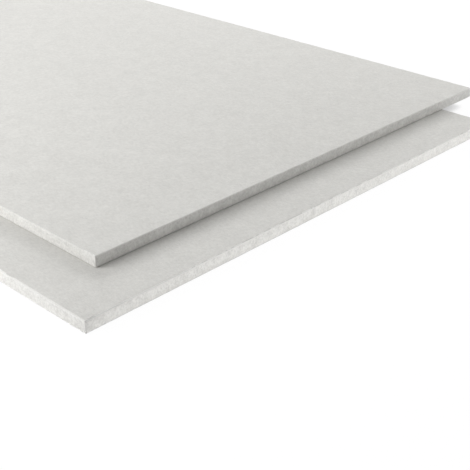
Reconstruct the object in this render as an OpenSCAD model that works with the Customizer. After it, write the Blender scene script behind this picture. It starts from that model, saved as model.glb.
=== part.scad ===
// Dry screed floor panel: two gypsum fibre boards of one size, bonded face to face.
// The upper board is set back from the lower one along one end and one side, so a ledge
// runs round the near corner and an overhang of the same width round the far corner.
// Neighbouring panels lap there, overhang on ledge, in a step joint.
// Millimetres, +Z up. The origin is on the floor, under the middle of the whole panel.
// The ledge corner points to +X and -Y.

/* [Boards] */
// Length of each board
board_length = 1500; // [600:10:2500]
// Width of each board
board_width = 500; // [300:10:1250]
// Thickness of the lower board
lower_thickness = 10; // [6:0.5:25]
// Thickness of the upper board
upper_thickness = 10; // [6:0.5:25]
// Arris broken off every sawn edge
arris = 0.5; // [0.1:0.1:2]

/* [Step joint] */
// Width of the ledge and of the overhang at the ends
end_step = 50; // [20:1:100]
// Width of the ledge and of the overhang along the sides
side_step = 50; // [20:1:100]

/* [Hidden] */
// Colour of the sanded gypsum fibre face
gypsum_fibre = [0.84, 0.83, 0.81];
// Each board lies half a step away from the middle of the panel
half_step = [end_step / 2, -side_step / 2];

// A rectangle about the origin with its four corners cut off at 45 degrees by the arris
module arrised_rectangle(size_x, size_y) {
    half_x = size_x / 2;
    half_y = size_y / 2;
    polygon([
        [half_x - arris, -half_y], [half_x, -half_y + arris],
        [half_x, half_y - arris], [half_x - arris, half_y],
        [-half_x + arris, half_y], [-half_x, half_y - arris],
        [-half_x, -half_y + arris], [-half_x + arris, -half_y],
    ]);
}

// One sawn board on the plane Z = 0: its plan, its cross section and its long section,
// each with broken arrises, meet in one solid
module sawn_board(thickness) {
    translate([0, 0, thickness / 2])
        intersection() {
            linear_extrude(thickness, center = true)
                arrised_rectangle(board_length, board_width);
            rotate([90, 0, 90])
                linear_extrude(board_length, center = true)
                    arrised_rectangle(board_width, thickness);
            rotate([90, 0, 0])
                linear_extrude(board_width, center = true)
                    arrised_rectangle(board_length, thickness);
        }
}

// The board that lies on the floor and carries the ledge
module lower_board() {
    color(gypsum_fibre)
        translate([half_step.x, half_step.y, 0])
            sawn_board(lower_thickness);
}

// The board bonded on top of it, which carries the overhang
module upper_board() {
    color(gypsum_fibre)
        translate([-half_step.x, -half_step.y, lower_thickness])
            sawn_board(upper_thickness);
}

lower_board();
upper_board();
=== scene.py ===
# Dry screed floor panel: two gypsum fibre boards, bonded face to face and offset by a step.
import math

import bmesh
import bpy
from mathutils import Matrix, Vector, noise


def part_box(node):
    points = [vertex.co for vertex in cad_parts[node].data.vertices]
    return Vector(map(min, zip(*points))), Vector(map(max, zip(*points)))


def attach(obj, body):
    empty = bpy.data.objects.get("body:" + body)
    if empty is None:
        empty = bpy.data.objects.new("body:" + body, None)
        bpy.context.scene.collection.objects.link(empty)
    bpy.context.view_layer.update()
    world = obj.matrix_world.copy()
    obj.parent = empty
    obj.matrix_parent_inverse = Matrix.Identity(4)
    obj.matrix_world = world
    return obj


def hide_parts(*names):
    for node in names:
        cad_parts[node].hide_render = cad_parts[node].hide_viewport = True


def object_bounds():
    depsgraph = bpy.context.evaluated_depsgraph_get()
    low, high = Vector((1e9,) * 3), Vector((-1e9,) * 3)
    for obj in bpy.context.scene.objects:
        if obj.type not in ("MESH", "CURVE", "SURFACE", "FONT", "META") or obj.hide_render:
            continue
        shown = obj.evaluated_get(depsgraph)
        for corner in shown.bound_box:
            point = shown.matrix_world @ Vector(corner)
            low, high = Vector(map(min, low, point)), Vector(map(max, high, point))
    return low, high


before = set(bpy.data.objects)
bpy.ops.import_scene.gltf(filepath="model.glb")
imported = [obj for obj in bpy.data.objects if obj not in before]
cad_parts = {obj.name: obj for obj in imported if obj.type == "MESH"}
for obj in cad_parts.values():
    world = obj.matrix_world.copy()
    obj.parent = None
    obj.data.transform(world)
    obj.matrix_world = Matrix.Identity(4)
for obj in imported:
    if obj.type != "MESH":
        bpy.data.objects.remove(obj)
cad_low, cad_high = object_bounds()
scene = bpy.context.scene


# Lower board
# The board that lies on the floor and carries the ledge. It is pressed from gypsum and paper
# fibre, sanded on both faces and sawn to size. Its arrises were knocked a little in handling.
ARRIS = 0.00018
ARRIS_SEGMENTS = 2
FIELD_CELL = 0.016
RIM_PASSES = 4
LONG_SIDE = 0.65


def rim_distance(point, low, high):
    """Distance from a point of a board in to its nearest sawn edge."""
    return min(point.x - low.x, high.x - point.x, point.y - low.y, high.y - point.y)


def board_blank(low, high):
    """A board sawn to size, with rounded arrises and cells that get finer towards its edges."""
    blank = bmesh.new()
    bmesh.ops.create_cube(blank, size=1.0)
    bmesh.ops.scale(blank, vec=high - low, verts=blank.verts)
    bmesh.ops.translate(blank, vec=(low + high) / 2, verts=blank.verts)
    bmesh.ops.bevel(blank, geom=blank.edges[:], offset=ARRIS, affect="EDGES",
                    segments=ARRIS_SEGMENTS, profile=0.5, material=-1)
    for axis in (0, 1):
        runs = [edge for edge in blank.edges
                if abs(edge.verts[0].co[axis] - edge.verts[1].co[axis]) > FIELD_CELL]
        cells = round((high[axis] - low[axis]) / FIELD_CELL)
        bmesh.ops.subdivide_edges(blank, edges=runs, cuts=cells - 1, use_grid_fill=True)
    cell = FIELD_CELL
    for _ in range(RIM_PASSES):
        rim = {face for face in blank.faces
               if rim_distance(face.calc_center_median(), low, high) < cell}
        long_edges = [edge for edge in blank.edges
                      if edge.calc_length() > LONG_SIDE * cell and not rim.isdisjoint(edge.link_faces)]
        bmesh.ops.subdivide_edges(blank, edges=long_edges, cuts=1, use_grid_fill=True)
        cell /= 2
    return blank


GRAIN_SIZE = 0.0018
GRAIN_FALL = 0.7
GRAIN_STEP = 2.0
GRAIN_LAYERS = 2
GRAIN_DEPTH = 0.00009
PIT_SIZE = 0.0028
PIT_SHARE = 0.28
PIT_DEPTH = 0.0005


def as_share(value):
    """Noise from -1 to 1, as a share from 0 to 1."""
    return 0.5 + 0.5 * value


def saw_depth(place):
    """How far loose grains and torn pits leave a sawn edge below its true plane."""
    grain = noise.fractal(place / GRAIN_SIZE, GRAIN_FALL, GRAIN_STEP, GRAIN_LAYERS)
    pit = max(0.0, noise.noise(place / PIT_SIZE) - PIT_SHARE)
    return max(0.0, GRAIN_DEPTH * as_share(grain)) + PIT_DEPTH * pit


WEAR_SIZE = 0.011
WEAR_DEPTH = 0.0005
CHIP_SIZE = 0.0032
CHIP_SHARE = 0.18
CHIP_DEPTH = 0.0008
CHIP_GROUP = 0.018
GROUP_SPREAD = 0.5


def arris_size(place, crumble):
    """How wide an arris is broken: a little everywhere, and more at chips, which come in groups."""
    wear = as_share(noise.noise(place / WEAR_SIZE))
    group = max(0.0, GROUP_SPREAD + noise.noise(place / CHIP_GROUP))
    chip = max(0.0, noise.noise(place / CHIP_SIZE) - CHIP_SHARE)
    return ARRIS + crumble * (WEAR_DEPTH * wear + CHIP_DEPTH * group * chip)


CORNER_REACH = 0.050
CORNER_CRUMBLE = 1.0
BOTTOM_CRUMBLE = 0.3


def knocks_at(point, low, high):
    """How hard the arrises are knocked here: most at a board's corners, and less underneath."""
    across = min(point.x - low.x, high.x - point.x)
    along = min(point.y - low.y, high.y - point.y)
    corner = 1.0 + CORNER_CRUMBLE * math.exp(-math.hypot(across, along) / CORNER_REACH)
    return corner if point.z > (low.z + high.z) / 2 else corner * BOTTOM_CRUMBLE


RIM_REACH = 0.0035


def weather(blank, low, high, crumble, seam, shift):
    """Roughens the sawn edges and breaks their arrises, always inwards from the true size."""
    broken = blank.verts.layers.float.new("broken")
    middle = (low + high) / 2
    for vert in blank.verts:
        if rim_distance(vert.co, low, high) > RIM_REACH:
            continue
        place = vert.co + shift
        # Inset is how far in the vertex lies on each axis, and cut is how much further it goes.
        inset = [min(vert.co[axis] - low[axis], high[axis] - vert.co[axis]) for axis in range(3)]
        cut = [0.0, 0.0, 0.0]
        depth = saw_depth(place)
        for axis in (0, 1):
            cut[axis] += depth * max(0.0, 1.0 - inset[axis] / ARRIS)
        # An arris breaks off at 45 degrees, half of it from either side.
        width = arris_size(place, crumble * knocks_at(vert.co, low, high))
        opened = seam if vert.co.z < middle.z else 0.0
        for one, other, extra in ((0, 1, 0.0), (0, 2, opened), (1, 2, opened)):
            missing = max(0.0, width + extra - inset[one] - inset[other])
            cut[one] += missing / 2
            cut[other] += missing / 2
            vert[broken] = max(vert[broken], (missing - extra) / CHIP_DEPTH)
        for axis in range(3):
            vert.co[axis] += cut[axis] if vert.co[axis] < middle[axis] else -cut[axis]


NOISE_ROUGHNESS = 0.6
FIBRE_DETAIL = 1.0
SPOT_DETAIL = 2.0
CLOUD_DETAIL = 3.0

# The Mix node's sockets for colours, which share their names with its other sockets.
MIX_SHARE = 0
MIX_FIRST = 6
MIX_SECOND = 7
MIX_COLOUR = 2


def add_node(tree, kind, sockets, **settings):
    """A shader node with its settings, and with a value or a link on each socket that is named."""
    made = tree.nodes.new(kind)
    for name, value in settings.items():
        setattr(made, name, value)
    for name, value in sockets.items():
        if isinstance(value, bpy.types.NodeSocket):
            tree.links.new(value, made.inputs[name])
        else:
            made.inputs[name].default_value = value
    return made


def noise_at(tree, place, size, detail, stretch=(1.0, 1.0, 1.0), turn=0.0, curl=0.0):
    """Noise with features of this size in metres, which can be stretched, turned and curled."""
    mapped = add_node(tree, "ShaderNodeMapping", {
        "Vector": place,
        "Rotation": (0.0, 0.0, turn),
        "Scale": [1.0 / (size * s) for s in stretch],
    })
    return add_node(tree, "ShaderNodeTexNoise", {
        "Vector": mapped.outputs["Vector"],
        "Scale": 1.0,
        "Detail": detail,
        "Roughness": NOISE_ROUGHNESS,
        "Distortion": curl,
    }).outputs["Fac"]


def ramp(tree, value, low, high):
    """The value spread from 0 at low to 1 at high, and held there beyond."""
    return add_node(tree, "ShaderNodeMapRange", {
        "Value": value, "From Min": low, "From Max": high,
    }, clamp=True).outputs["Result"]


def maths(tree, operation, first, second):
    """One sum on two values."""
    return add_node(tree, "ShaderNodeMath", {0: first, 1: second}, operation=operation).outputs[0]


def blend(tree, amount, first, second):
    """One colour laid over another."""
    sockets = {MIX_SHARE: amount, MIX_FIRST: first, MIX_SECOND: second}
    return add_node(tree, "ShaderNodeMix", sockets, data_type="RGBA").outputs[MIX_COLOUR]


def stain(tree, mark, strength, colour, stained):
    """A colour with marks of another colour in it, at this strength."""
    return blend(tree, maths(tree, "MULTIPLY", mark, strength), colour, stained)


def mixed_tone(tree, place, broad_size, fine_size, fine_share):
    """Broad clouds and fine spots in one value, with the share of the spots."""
    clouds = noise_at(tree, place, broad_size, CLOUD_DETAIL)
    spots = noise_at(tree, place, fine_size, SPOT_DETAIL)
    broad = maths(tree, "MULTIPLY", clouds, 1.0 - fine_share)
    fine = maths(tree, "MULTIPLY", spots, fine_share)
    return maths(tree, "ADD", broad, fine)


FIBRE_WIDTH = 0.0005
FIBRE_STRETCH = (7.0, 1.0, 1.0)
FIBRE_TURNS = (0.3, 1.35, 2.4)
FIBRE_CURL = 1.2
PALE_STREAK = (0.60, 0.72)
DARK_STREAK = (0.40, 0.28)
PINHOLES_PER_METRE = 140.0
PINHOLE_RIM = (0.055, 0.030)
SAND_GRAIN = 0.0011


def pressed_fibre_group():
    """The marks of paper fibre pressed in gypsum, as values over the surface."""
    group = bpy.data.node_groups.new("pressed_fibre", "ShaderNodeTree")
    group.interface.new_socket("Place", in_out="INPUT", socket_type="NodeSocketVector")
    for name in ("Pale Fibre", "Dark Fibre", "Pinhole", "Grain"):
        group.interface.new_socket(name, in_out="OUTPUT", socket_type="NodeSocketFloat")
    place = group.nodes.new("NodeGroupInput").outputs["Place"]
    pale = None
    dark = None
    for turn in FIBRE_TURNS:
        streak = noise_at(group, place, FIBRE_WIDTH, FIBRE_DETAIL, FIBRE_STRETCH, turn, FIBRE_CURL)
        light = ramp(group, streak, *PALE_STREAK)
        shade = ramp(group, streak, *DARK_STREAK)
        pale = light if pale is None else maths(group, "MAXIMUM", pale, light)
        dark = shade if dark is None else maths(group, "MAXIMUM", dark, shade)
    holes = add_node(group, "ShaderNodeTexVoronoi", {"Vector": place, "Scale": PINHOLES_PER_METRE})
    add_node(group, "NodeGroupOutput", {
        "Pale Fibre": pale,
        "Dark Fibre": dark,
        "Pinhole": ramp(group, holes.outputs["Distance"], *PINHOLE_RIM),
        "Grain": noise_at(group, place, SAND_GRAIN, CLOUD_DETAIL),
    })
    return group


PRESSED_FIBRE = pressed_fibre_group()
RELIEF_STRENGTH = 0.35


def start_material(name):
    """A new material with its shader, its place on the object and the pressed fibre marks."""
    material = bpy.data.materials.new(name)
    material.use_nodes = True
    tree = material.node_tree
    place = tree.nodes.new("ShaderNodeTexCoord").outputs["Object"]
    marks = add_node(tree, "ShaderNodeGroup", {}, node_tree=PRESSED_FIBRE)
    tree.links.new(place, marks.inputs["Place"])
    return material, tree, tree.nodes["Principled BSDF"], place, marks.outputs


def add_relief(tree, shader, height, depth):
    """Fine relief of this depth in metres, too small for the mesh."""
    bump = add_node(tree, "ShaderNodeBump", {
        "Height": height, "Strength": RELIEF_STRENGTH, "Distance": depth,
    })
    tree.links.new(bump.outputs["Normal"], shader.inputs["Normal"])


FACE_SHADE = (0.612, 0.605, 0.579, 1.0)
FACE_LIGHT = (0.724, 0.717, 0.689, 1.0)
PALE_FIBRE = (0.800, 0.794, 0.770, 1.0)
DARK_FIBRE = (0.505, 0.497, 0.470, 1.0)
PINHOLE = (0.300, 0.292, 0.270, 1.0)
FLOC_SIZE = 0.014
FLECK_SIZE = 0.0031
FLECK_SHARE = 0.6
FACE_TONES = (0.30, 0.70)
PALE_FIBRE_STRENGTH = 0.45
DARK_FIBRE_STRENGTH = 0.35
PINHOLE_STRENGTH = 0.5
SANDING_WIDTH = 0.0014
SANDING_STRETCH = (60.0, 1.0, 1.0)
SANDING_TONES = (0.3, 0.7)
FACE_ROUGHNESS = (0.80, 0.92)
FACE_SHEEN = 0.25
FACE_GRAIN = 0.6
FACE_RELIEF = 0.00008


def sanded_face():
    """The factory-sanded face: even warm grey with faint flocs, flecks, fibres and pinholes."""
    material, tree, shader, place, marks = start_material("sanded_face")
    tone = mixed_tone(tree, place, FLOC_SIZE, FLECK_SIZE, FLECK_SHARE)
    colour = blend(tree, ramp(tree, tone, *FACE_TONES), FACE_SHADE, FACE_LIGHT)
    colour = stain(tree, marks["Pale Fibre"], PALE_FIBRE_STRENGTH, colour, PALE_FIBRE)
    colour = stain(tree, marks["Dark Fibre"], DARK_FIBRE_STRENGTH, colour, DARK_FIBRE)
    colour = stain(tree, marks["Pinhole"], PINHOLE_STRENGTH, colour, PINHOLE)
    tree.links.new(colour, shader.inputs["Base Color"])
    sanding = noise_at(tree, place, SANDING_WIDTH, SPOT_DETAIL, SANDING_STRETCH)
    rough = add_node(tree, "ShaderNodeMapRange", {
        "Value": sanding,
        "From Min": SANDING_TONES[0],
        "From Max": SANDING_TONES[1],
        "To Min": FACE_ROUGHNESS[0],
        "To Max": FACE_ROUGHNESS[1],
    })
    tree.links.new(rough.outputs["Result"], shader.inputs["Roughness"])
    shader.inputs["Specular IOR Level"].default_value = FACE_SHEEN
    grain = maths(tree, "MULTIPLY", marks["Grain"], FACE_GRAIN)
    raised = maths(tree, "ADD", grain, marks["Pale Fibre"])
    add_relief(tree, shader, maths(tree, "SUBTRACT", raised, marks["Pinhole"]), FACE_RELIEF)
    return material


CORE_WHITE = (0.900, 0.892, 0.864, 1.0)
CORE_SHADE = (0.718, 0.710, 0.684, 1.0)
# The colour of broken arrises: partly the paler bared core, partly a painted highlight along the
# arris.
BROKEN_CORE_AND_HIGHLIGHT = (0.850, 0.843, 0.818, 1.0)
BLOTCH_SIZE = 0.0070
CRUMB_SIZE = 0.0017
CRUMB_SHARE = 0.56
CRUMB_TONES = (0.38, 0.62)
BROKEN_HIGHLIGHT_TONES = (0.02, 0.25)
EDGE_FIBRE_STRENGTH = 0.15
EDGE_ROUGHNESS = 0.95
EDGE_SHEEN = 0.15
EDGE_GRAIN = 0.7
EDGE_RELIEF = 0.0002


def sawn_edge():
    """The sawn edge: the paler granular core, with a few fibres, and broken arrises painted paler
    still, partly as the bared core and partly as a painted highlight along the arris.
    """
    material, tree, shader, place, marks = start_material("sawn_edge")
    broken = add_node(tree, "ShaderNodeAttribute", {}, attribute_name="broken").outputs["Fac"]
    crumbs = mixed_tone(tree, place, BLOTCH_SIZE, CRUMB_SIZE, CRUMB_SHARE)
    colour = blend(tree, ramp(tree, crumbs, *CRUMB_TONES), CORE_SHADE, CORE_WHITE)
    colour = stain(tree, marks["Dark Fibre"], EDGE_FIBRE_STRENGTH, colour, DARK_FIBRE)
    # Where an arris is broken its colour turns paler: partly the bared core, partly a painted
    # highlight along the arris.
    colour = blend(tree, ramp(tree, broken, *BROKEN_HIGHLIGHT_TONES), colour, BROKEN_CORE_AND_HIGHLIGHT)
    tree.links.new(colour, shader.inputs["Base Color"])
    shader.inputs["Roughness"].default_value = EDGE_ROUGHNESS
    shader.inputs["Specular IOR Level"].default_value = EDGE_SHEEN
    grain = maths(tree, "MULTIPLY", marks["Grain"], EDGE_GRAIN)
    add_relief(tree, shader, maths(tree, "ADD", crumbs, grain), EDGE_RELIEF)
    return material


SANDED_FACE = sanded_face()
SAWN_EDGE = sawn_edge()
FLAT_NORMAL = math.cos(math.radians(9.0))
SHARP_ANGLE = math.radians(22.0)


def board_piece(name, node, crumble, seam, shift):
    """A finished board in the place of its node: sanded faces, sawn and broken edges."""
    low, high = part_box(node)
    blank = board_blank(low, high)
    weather(blank, low, high, crumble, seam, shift)
    blank.normal_update()
    for face in blank.faces:
        face.material_index = 0 if abs(face.normal.z) > FLAT_NORMAL else 1
        face.smooth = True
    mesh = bpy.data.meshes.new(name)
    blank.to_mesh(mesh)
    blank.free()
    mesh.set_sharp_from_angle(angle=SHARP_ANGLE)
    mesh.materials.append(SANDED_FACE)
    mesh.materials.append(SAWN_EDGE)
    piece = bpy.data.objects.new(name, mesh)
    scene.collection.objects.link(piece)
    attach(piece, "root")
    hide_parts(node)


LOWER_CRUMBLE = 1.0
LOWER_SEAM = 0.0
LOWER_SHIFT = Vector((3.1, 7.7, 1.3))

board_piece("lower_gypsum_board", "lower_board", LOWER_CRUMBLE, LOWER_SEAM, LOWER_SHIFT)


# Upper board
# The same board again, bonded on top and set back along one end and one side. Its arrises were
# kept cleaner, because the lower board took the knocks, and its joint shows as a thin dark line.
UPPER_CRUMBLE = 0.4
UPPER_SEAM = 0.0005
UPPER_SHIFT = Vector((11.9, 2.3, 5.1))

board_piece("upper_gypsum_board", "upper_board", UPPER_CRUMBLE, UPPER_SEAM, UPPER_SHIFT)


# Floor
# A plain white studio floor under the panel. It reads white to the camera, and its own diffuse part
# keeps the shadow of the boards.
# Under the overhang of the upper board its white is darkened by painted shade, taken from an ambient
# occlusion node.
FLOOR_SIZE = 12.0
FLOOR_DROP = 0.0001
FLOOR_WHITE = (0.90, 0.90, 0.90, 1.0)
FLOOR_GLOW = 0.95
PAINTED_SHADE_REACH = 0.12
OPEN_SHARE = 0.46
OPEN_GLOW = 1.02
DEEP_PAINTED_SHADE = 0.40


def seen_directly(tree):
    """1 on a ray from the camera, a reflection or a clear piece, and 0 on light that bounces."""
    path = tree.nodes.new("ShaderNodeLightPath").outputs
    mirrored = maths(tree, "MAXIMUM", path["Is Glossy Ray"], path["Is Transmission Ray"])
    return maths(tree, "MAXIMUM", path["Is Camera Ray"], mirrored)


floor_plan = bmesh.new()
bmesh.ops.create_grid(floor_plan, x_segments=1, y_segments=1, size=FLOOR_SIZE / 2)
bmesh.ops.translate(floor_plan, vec=(0.0, 0.0, cad_low.z - FLOOR_DROP), verts=floor_plan.verts)
floor_mesh = bpy.data.meshes.new("studio_floor")
floor_plan.to_mesh(floor_mesh)
floor_plan.free()

floor_paint = bpy.data.materials.new("floor_white")
floor_paint.use_nodes = True
floor_tree = floor_paint.node_tree
floor_tree.nodes.remove(floor_tree.nodes["Principled BSDF"])
floor_matt = add_node(floor_tree, "ShaderNodeBsdfDiffuse", {"Color": FLOOR_WHITE})
# Painted shade: the white the camera sees is darkened where the ambient occlusion is low, as under the
# overhang.
floor_open = add_node(floor_tree, "ShaderNodeAmbientOcclusion", {"Distance": PAINTED_SHADE_REACH})
floor_painted_shade = add_node(floor_tree, "ShaderNodeMapRange", {
    "Value": floor_open.outputs["AO"],
    "From Max": OPEN_SHARE,
    "To Min": DEEP_PAINTED_SHADE,
    "To Max": OPEN_GLOW,
})
floor_glow = add_node(floor_tree, "ShaderNodeEmission", {"Strength": floor_painted_shade.outputs["Result"]})
floor_mix = add_node(floor_tree, "ShaderNodeMixShader", {
    0: maths(floor_tree, "MULTIPLY", seen_directly(floor_tree), FLOOR_GLOW),
    1: floor_matt.outputs["BSDF"],
    2: floor_glow.outputs["Emission"],
})
floor_output = floor_tree.nodes["Material Output"]
floor_tree.links.new(floor_mix.outputs["Shader"], floor_output.inputs["Surface"])

floor_mesh.materials.append(floor_paint)
floor = bpy.data.objects.new("studio_floor", floor_mesh)
scene.collection.objects.link(floor)


# Studio light
# Soft boxes stand round the panel and clear of it: two at the near side, one at the far corner, one
# behind, one past the near end and one overhead. The lit table glows up at the near end and side.
GLOW_WIDTH = 0.20
GLOW_GAP = 0.0002
GLOW_SETBACK = 0.001
GLOW_LAP = 0.010
END_GLOW = 0.82
SIDE_GLOW = 0.14
ROOM_WHITE = (1.0, 1.0, 1.0, 1.0)
ROOM_LIGHT = 0.082
ROOM_SEEN = 1.0

near_corner = Vector((cad_high.x, cad_low.y, cad_low.z))
panel_length, panel_width = (cad_high - cad_low).xy


def flat_lamp(name, wide, tall, level, place, turn):
    """A flat lamp of this brightness, which is its light over its own area."""
    lamp = bpy.data.lights.new(name, "AREA")
    lamp.shape = "RECTANGLE"
    lamp.size = wide
    lamp.size_y = tall
    lamp.energy = level * math.pi * wide * tall
    holder = bpy.data.objects.new(name, lamp)
    holder.location = place
    holder.rotation_euler = turn
    holder.visible_camera = False
    scene.collection.objects.link(holder)


def soft_box(name, wide, tall, level, place, aim):
    """A soft box at a place in the frame that faces a spot on the top of the panel."""
    towards = Vector((*aim, cad_high.z)) - Vector(place)
    flat_lamp(name, wide, tall, level, place, towards.to_track_quat("-Z", "Y").to_euler())


def table_glow(name, level, low, high):
    """A stretch of the table that shines up, between two corners measured from the near corner."""
    middle = near_corner + Vector(((low[0] + high[0]) / 2, (low[1] + high[1]) / 2, 0.0))
    flat_lamp(name, high[0] - low[0], high[1] - low[1], level, middle, (math.pi, 0.0, 0.0))


soft_box("near_box", wide=0.6, tall=0.5, level=5.30, place=(0.30, -0.85, 0.45), aim=(0.30, -0.05))
soft_box("side_box", wide=1.0, tall=0.7, level=3.44, place=(-0.50, -1.15, 0.85), aim=(-0.40, -0.05))
soft_box("corner_box", wide=1.4, tall=1.0, level=8.30, place=(-1.50, 1.30, 1.15), aim=(-0.20, 0.05))
soft_box("back_box", wide=1.6, tall=0.8, level=2.01, place=(0.80, 1.175, 0.50), aim=(0.48, 0.05))
soft_box("end_box", wide=0.8, tall=0.5, level=0.77, place=(1.675, 0.20, 0.32), aim=(0.30, 0.06))
soft_box("top_box", wide=1.6, tall=1.6, level=1.02, place=(0.20, 0.20, 1.60), aim=(0.20, 0.20))
table_glow("end_glow", END_GLOW, (GLOW_GAP, GLOW_SETBACK), (GLOW_GAP + GLOW_WIDTH, panel_width))
table_glow("side_glow", SIDE_GLOW, (-panel_length, -GLOW_GAP - GLOW_WIDTH), (GLOW_LAP, -GLOW_GAP))

room = bpy.data.worlds.new("white_room")
room.use_nodes = True
room_tree = room.node_tree
room_shade = add_node(room_tree, "ShaderNodeMapRange", {
    "Value": seen_directly(room_tree), "To Min": ROOM_LIGHT, "To Max": ROOM_SEEN,
})
room_walls = room_tree.nodes["Background"]
room_walls.inputs["Color"].default_value = ROOM_WHITE
room_tree.links.new(room_shade.outputs["Result"], room_walls.inputs["Strength"])
scene.world = room
scene.view_settings.view_transform = "Standard"


# Camera
# It looks down on the corner that has the ledge, from the photograph's place.
# Its place is measured from that corner, at the floor.
EYE_FROM_CORNER = Vector((0.4538, -0.3278, 0.3667))
LOOK_ROUND = 43.92
LOOK_DOWN = 27.917
LENS = 75.7
SENSOR_WIDTH = 36.0

eye = bpy.data.cameras.new("photo_camera")
eye.lens = LENS
eye.sensor_width = SENSOR_WIDTH
camera = bpy.data.objects.new("photo_camera", eye)
camera.location = near_corner + EYE_FROM_CORNER
camera.rotation_euler = (math.radians(90.0 - LOOK_DOWN), 0.0, math.radians(LOOK_ROUND))
scene.collection.objects.link(camera)
scene.camera = camera
